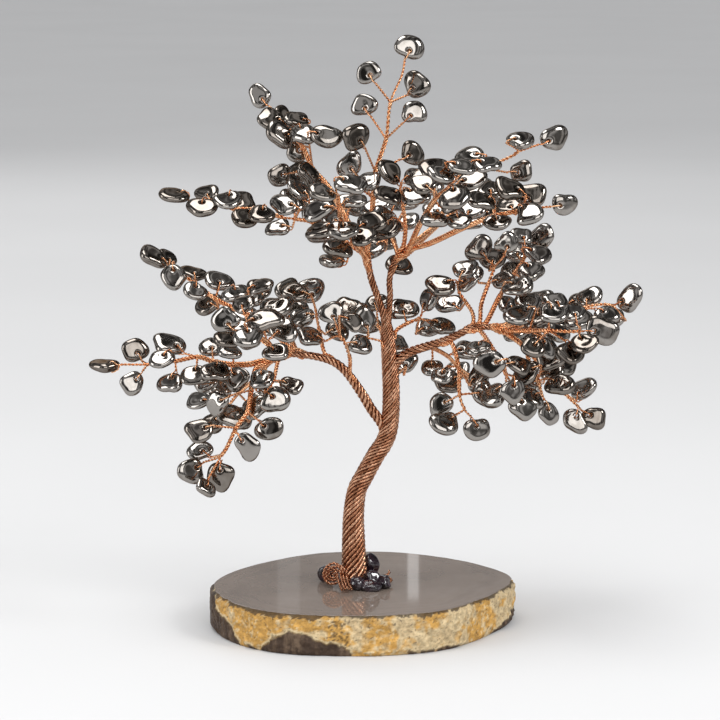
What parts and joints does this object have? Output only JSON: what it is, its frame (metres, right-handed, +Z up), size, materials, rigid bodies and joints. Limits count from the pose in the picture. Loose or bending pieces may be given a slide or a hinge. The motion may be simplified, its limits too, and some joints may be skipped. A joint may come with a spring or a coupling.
{
  "type": "wire tree of life",
  "caption": "Copper wire tree with polished hematite chips on a slice of agate.",
  "frame": {"origin": "middle of the flat underside of the agate slice", "axes": "+Z up the trunk, +X to the right of someone facing the front, +Y away from them"},
  "size_m": [0.2203, 0.1337, 0.2359],
  "materials": {
    "agate": "polished",
    "copper_wire": "gloss",
    "hematite_chips": "polished",
    "garnet_chips": "polished"
  },
  "bodies": {
    "root": {"agate_slice": "agate", "trunk_rope": "copper_wire", "foot_crook": "copper_wire", "foot_curl": "copper_wire", "foot_stone_upright": "garnet_chips", "foot_stone_front": "garnet_chips", "foot_stone_middle": "garnet_chips", "foot_stone_low": "garnet_chips", "foot_stone_right": "garnet_chips", "foot_stone_left": "garnet_chips", "foot_stone_behind": "garnet_chips", "trunk_right_sprig": "hematite_chips", "trunk_left_sprig": "hematite_chips", "trunk_back_sprig": "hematite_chips", "trunk_shoulder_sprig": "hematite_chips"},
    "left_bough": {"left_bough_rope": "copper_wire", "left_tip_sprig": "hematite_chips", "left_far_sprig": "hematite_chips", "left_droop_sprig": "hematite_chips", "left_near_droop_sprig": "hematite_chips", "left_back_droop_sprig": "hematite_chips", "left_front_sprig": "hematite_chips", "left_back_sprig": "hematite_chips", "left_inner_sprig": "hematite_chips", "left_near_sprig": "hematite_chips"},
    "right_bough": {"right_bough_rope": "copper_wire", "right_tip_sprig": "hematite_chips", "right_front_sprig": "hematite_chips", "right_back_sprig": "hematite_chips", "right_droop_sprig": "hematite_chips", "right_far_droop_sprig": "hematite_chips", "right_mid_sprig": "hematite_chips", "right_mid_tall_sprig": "hematite_chips", "right_mid_reach_sprig": "hematite_chips", "right_low_sprig": "hematite_chips", "right_near_sprig": "hematite_chips", "right_under_sprig": "hematite_chips"},
    "crown_left": {"crown_left_rope": "copper_wire", "leader_sprig": "hematite_chips", "upper_left_sprig": "hematite_chips", "middle_left_inner_sprig": "hematite_chips", "middle_left_outer_sprig": "hematite_chips", "crown_front_sprig": "hematite_chips", "crown_back_sprig": "hematite_chips"},
    "crown_right": {"crown_right_rope": "copper_wire", "crown_heart_sprig": "hematite_chips", "crown_hollow_sprig": "hematite_chips", "far_right_sprig": "hematite_chips", "right_reach_sprig": "hematite_chips", "disc_front_sprig": "hematite_chips", "disc_back_sprig": "hematite_chips"}
  },
  "joints": [
    {"name": "left_bough_bend", "type": "hinge", "parent": "root", "child": "left_bough", "pos_m": [0.004, 0, 0.0846], "axis": [0, 0, 1], "range_deg": [-8, 8]},
    {"name": "right_bough_bend", "type": "hinge", "parent": "root", "child": "right_bough", "pos_m": [0.01618, -0.0015, 0.10942], "axis": [0, 0, 1], "range_deg": [-8, 8]},
    {"name": "crown_left_bend", "type": "hinge", "parent": "root", "child": "crown_left", "pos_m": [0.0063, 0, 0.1306], "axis": [0, 0, 1], "range_deg": [-5, 5]},
    {"name": "crown_right_bend", "type": "hinge", "parent": "root", "child": "crown_right", "pos_m": [0.0112, -0.0005, 0.13148], "axis": [0, 0, 1], "range_deg": [-5, 5]}
  ]
}
